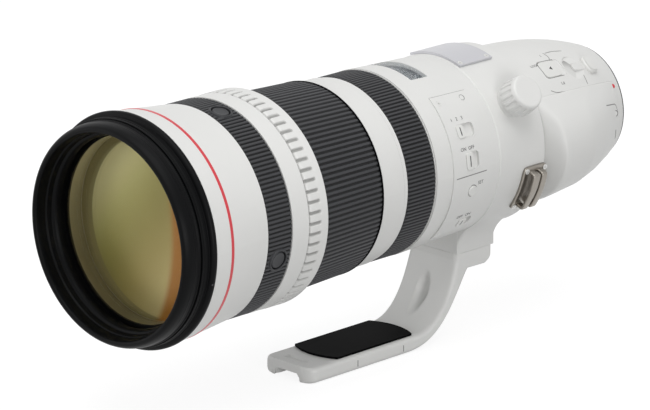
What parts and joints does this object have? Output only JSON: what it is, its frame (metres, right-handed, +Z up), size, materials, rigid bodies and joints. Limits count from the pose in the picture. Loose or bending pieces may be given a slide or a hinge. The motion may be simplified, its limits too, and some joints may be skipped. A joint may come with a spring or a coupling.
{
  "type": "super telephoto lens",
  "caption": "Super telephoto zoom lens with turning tripod collar and foot, ribbed rings, switch panel, swing-in extender and bayonet rear mount.",
  "frame": {"origin": "centre of the seat face of the camera mount, on the optical axis", "axes": "optical axis along Y, front of the lens towards -Y, +Z up, +X the side of the switch panel"},
  "size_m": [0.128, 0.3723, 0.1731],
  "materials": {
    "steel": "turned bright",
    "gold": "plated",
    "white_paint": "fine satin",
    "dark_metal": "matte black",
    "inner_metal": "blackened",
    "plate": "satin",
    "motor": "plain",
    "rubber": "matte ribbed",
    "black_plastic": "matte",
    "white_plastic": "satin",
    "board": "lacquered",
    "red": "gloss",
    "glass": "coated"
  },
  "bodies": {
    "barrel": {"mount_flange": "steel", "contact_block": "black_plastic", "contact_pins": "gold", "mount_gasket": "rubber", "rear_barrel": "white_paint", "side_cover": "white_paint", "barrel_screws": "steel", "rear_glass": "glass", "main_barrel": "white_paint", "switch_panel": "white_paint", "window_glass": "glass", "front_barrel": "white_paint", "red_ring": "red", "button_band": "rubber", "hood_ring": "dark_metal", "front_rim": "dark_metal", "front_glass": "glass", "objective_glass": "glass", "guide_tube": "inner_metal", "motor_stator": "motor", "circuit_board": "board", "iris_unit": "inner_metal", "stabiliser_base": "inner_metal"},
    "collar": {"collar_ring": "white_paint", "name_plate": "plate", "collar_screws": "steel", "strap_lug": "steel", "tripod_foot": "white_paint", "foot_pad": "rubber"},
    "knob": {"lock_knob": "white_paint"},
    "focus": {"focus_ring": "dark_metal", "focus_grip": "rubber"},
    "scale": {"distance_scale": "black_plastic"},
    "focus_group": {"focus_cell": "inner_metal", "focus_glass": "glass"},
    "rotor": {"motor_rotor": "motor"},
    "zoom": {"zoom_ring": "white_paint", "zoom_grip": "rubber"},
    "cam": {"cam_barrel": "inner_metal"},
    "variator": {"variator_cell": "inner_metal", "variator_glass": "glass"},
    "compensator": {"compensator_cell": "inner_metal", "compensator_glass": "glass"},
    "playback": {"playback_ring": "white_paint"},
    "stop_top": {"stop_button_top": "black_plastic"},
    "stop_left": {"stop_button_left": "black_plastic"},
    "stop_bottom": {"stop_button_bottom": "black_plastic"},
    "stop_right": {"stop_button_right": "black_plastic"},
    "set": {"set_button": "black_plastic"},
    "mode": {"mode_switch": "black_plastic"},
    "power": {"power_switch": "black_plastic"},
    "preset": {"preset_switch": "black_plastic"},
    "lock_slider": {"extender_lock": "white_plastic"},
    "lever": {"extender_lever": "white_paint"},
    "extender": {"extender_cell": "inner_metal", "extender_glass": "glass"},
    "drawer": {"filter_drawer": "white_paint", "filter_glass": "glass"},
    "yoke": {"stabiliser_yoke": "inner_metal"},
    "stabiliser": {"stabiliser_cell": "inner_metal"}
  },
  "joints": [
    {"name": "collar_turn", "type": "hinge", "parent": "barrel", "child": "collar", "pos_m": [0, -0.102, 0], "axis": [0, -1, 0], "continuous": true},
    {"name": "knob_turn", "type": "hinge", "parent": "collar", "child": "knob", "pos_m": [0.04945, -0.105, 0.03398], "axis": [0.8241, 0, 0.5664], "range_deg": [0, 270]},
    {"name": "focus_turn", "type": "hinge", "parent": "barrel", "child": "focus", "pos_m": [0, -0.24, 0], "axis": [0, -1, 0], "range_deg": [0, 150]},
    {"name": "scale_turn", "type": "hinge", "parent": "barrel", "child": "scale", "pos_m": [0, -0.1535, 0], "axis": [0, -1, 0], "range_deg": [0, 150]},
    {"name": "rotor_turn", "type": "hinge", "parent": "barrel", "child": "rotor", "pos_m": [0, -0.24, 0], "axis": [0, -1, 0], "range_deg": [0, 150]},
    {"name": "focus_slide", "type": "slide", "parent": "barrel", "child": "focus_group", "axis": [0, -1, 0], "range_m": [0, 0.012]},
    {"name": "zoom_turn", "type": "hinge", "parent": "barrel", "child": "zoom", "pos_m": [0, -0.195, 0], "axis": [0, -1, 0], "range_deg": [0, 75]},
    {"name": "cam_turn", "type": "hinge", "parent": "barrel", "child": "cam", "pos_m": [0, -0.175, 0], "axis": [0, -1, 0], "range_deg": [0, 75]},
    {"name": "variator_slide", "type": "slide", "parent": "barrel", "child": "variator", "axis": [0, 1, 0], "range_m": [0, 0.026]},
    {"name": "compensator_slide", "type": "slide", "parent": "barrel", "child": "compensator", "axis": [0, -1, 0], "range_m": [0, 0.01]},
    {"name": "playback_turn", "type": "hinge", "parent": "barrel", "child": "playback", "pos_m": [0, -0.271, 0], "axis": [0, -1, 0], "range_deg": [-10, 10], "stiffness_Nm_per_rad": 0.5},
    {"name": "stop_top_press", "type": "slide", "parent": "barrel", "child": "stop_top", "axis": [-0.2504, 0, -0.9681], "range_m": [0, 0.0008], "stiffness_N_per_m": 400},
    {"name": "stop_left_press", "type": "slide", "parent": "barrel", "child": "stop_left", "axis": [0.9681, 0, -0.2504], "range_m": [0, 0.0008], "stiffness_N_per_m": 400},
    {"name": "stop_bottom_press", "type": "slide", "parent": "barrel", "child": "stop_bottom", "axis": [0.2504, 0, 0.9681], "range_m": [0, 0.0008], "stiffness_N_per_m": 400},
    {"name": "stop_right_press", "type": "slide", "parent": "barrel", "child": "stop_right", "axis": [-0.9681, 0, 0.2504], "range_m": [0, 0.0008], "stiffness_N_per_m": 400},
    {"name": "set_press", "type": "slide", "parent": "barrel", "child": "set", "axis": [-0.9755, 0, 0.2198], "range_m": [0, 0.0007], "stiffness_N_per_m": 300},
    {"name": "mode_slide", "type": "slide", "parent": "barrel", "child": "mode", "axis": [0, 1, 0], "range_m": [0, 0.008]},
    {"name": "power_slide", "type": "slide", "parent": "barrel", "child": "power", "axis": [0, 1, 0], "range_m": [0, 0.0046]},
    {"name": "preset_slide", "type": "slide", "parent": "barrel", "child": "preset", "axis": [0, 1, 0], "range_m": [0, 0.0046]},
    {"name": "lock_slide", "type": "slide", "parent": "barrel", "child": "lock_slider", "axis": [0, 1, 0], "range_m": [0, 0.0035]},
    {"name": "extender_swing", "type": "hinge", "parent": "barrel", "child": "extender", "pos_m": [0.0107, -0.059, -0.02952], "axis": [0, -1, 0], "range_deg": [0, 61.4]},
    {"name": "lever_turn", "type": "hinge", "parent": "barrel", "child": "lever", "pos_m": [0.02764, -0.037, 0.03294], "axis": [0.6428, 0, 0.766], "range_deg": [0, 28]},
    {"name": "drawer_slide", "type": "slide", "parent": "barrel", "child": "drawer", "axis": [-1, 0, 0], "range_m": [0, 0.07]},
    {"name": "stabiliser_shift_x", "type": "slide", "parent": "barrel", "child": "yoke", "axis": [1, 0, 0], "range_m": [-0.001, 0.001]},
    {"name": "stabiliser_shift_z", "type": "slide", "parent": "yoke", "child": "stabiliser", "axis": [0, 0, 1], "range_m": [-0.001, 0.001]}
  ],
  "couplings": [
    {"joint": "scale_turn", "follows": "focus_turn", "ratio": 1},
    {"joint": "rotor_turn", "follows": "focus_turn", "ratio": 1},
    {"joint": "focus_slide", "follows": "focus_turn", "m_per_rad": 0.00458},
    {"joint": "cam_turn", "follows": "zoom_turn", "ratio": 1},
    {"joint": "variator_slide", "follows": "zoom_turn", "m_per_rad": 0.01986},
    {"joint": "compensator_slide", "follows": "zoom_turn", "m_per_rad": 0.00763},
    {"joint": "lever_turn", "follows": "extender_swing", "ratio": 0.456}
  ]
}
